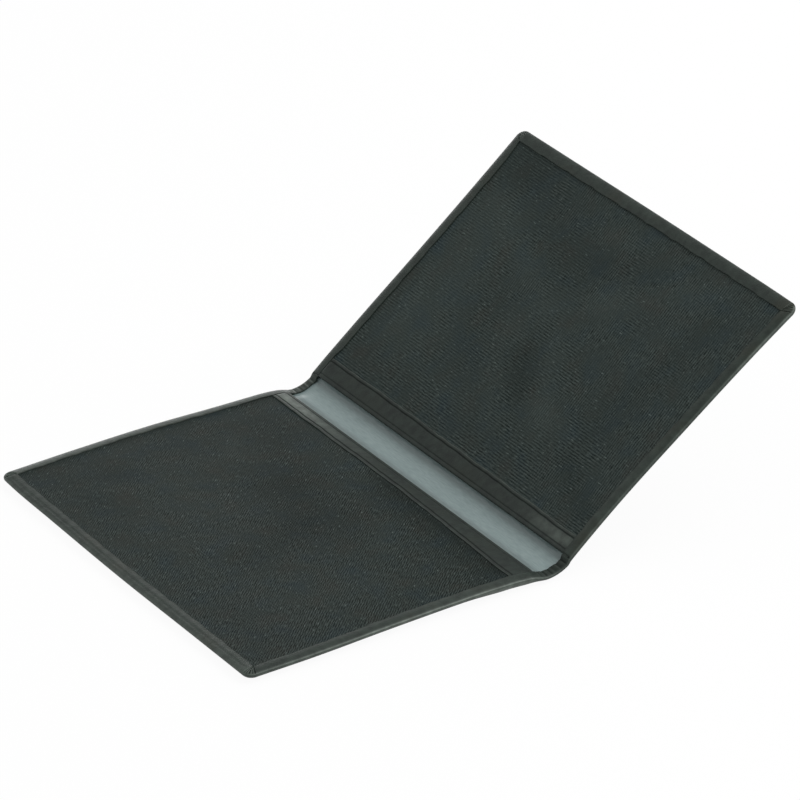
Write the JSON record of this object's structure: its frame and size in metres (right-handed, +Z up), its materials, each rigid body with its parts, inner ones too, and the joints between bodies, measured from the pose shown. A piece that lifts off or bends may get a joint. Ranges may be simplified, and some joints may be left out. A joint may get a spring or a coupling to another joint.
{
  "type": "badge case",
  "caption": "Thin black leather bifold badge case, lying open, with a full-size cloth-faced pocket in each leaf and a fold line at each side of the spine.",
  "frame": {"origin": "on the table, under the middle of the open case's bounding box", "axes": "+X across the leaves towards the raised right leaf, +Y along the fold towards the far end, +Z up from the table"},
  "size_m": [0.1492, 0.11, 0.0531],
  "materials": {
    "cover_leather": "smooth black cowhide, satin, with a fine grain",
    "trim_leather": "smooth black cowhide, pared thin, with a pressed crease line",
    "stiffener_board": "grey bonded leather fibre board, hidden",
    "lining_satin": "smooth grey-green satin with a soft sheen",
    "pocket_nylon": "black ribbed nylon twill, slightly glossy threads"
  },
  "bodies": {
    "left_leaf": {"left_cover": "cover_leather", "left_board": "stiffener_board", "left_pocket_lining": "lining_satin", "left_pocket_face": "pocket_nylon", "left_mouth_trim": "trim_leather"},
    "spine": {"spine_cover": "cover_leather", "spine_lining": "lining_satin"},
    "right_leaf": {"right_cover": "cover_leather", "right_board": "stiffener_board", "right_pocket_lining": "lining_satin", "right_pocket_face": "pocket_nylon", "right_mouth_trim": "trim_leather"}
  },
  "joints": [
    {"name": "left_fold", "type": "hinge", "parent": "left_leaf", "child": "spine", "pos_m": [0.00696, 0, 0.0006], "axis": [0, -1, 0], "range_deg": [-19.1, 70.9]},
    {"name": "right_fold", "type": "hinge", "parent": "spine", "child": "right_leaf", "pos_m": [0.01082, 0, 0.00144], "axis": [0, -1, 0], "range_deg": [-19.1, 70.9]}
  ]
}
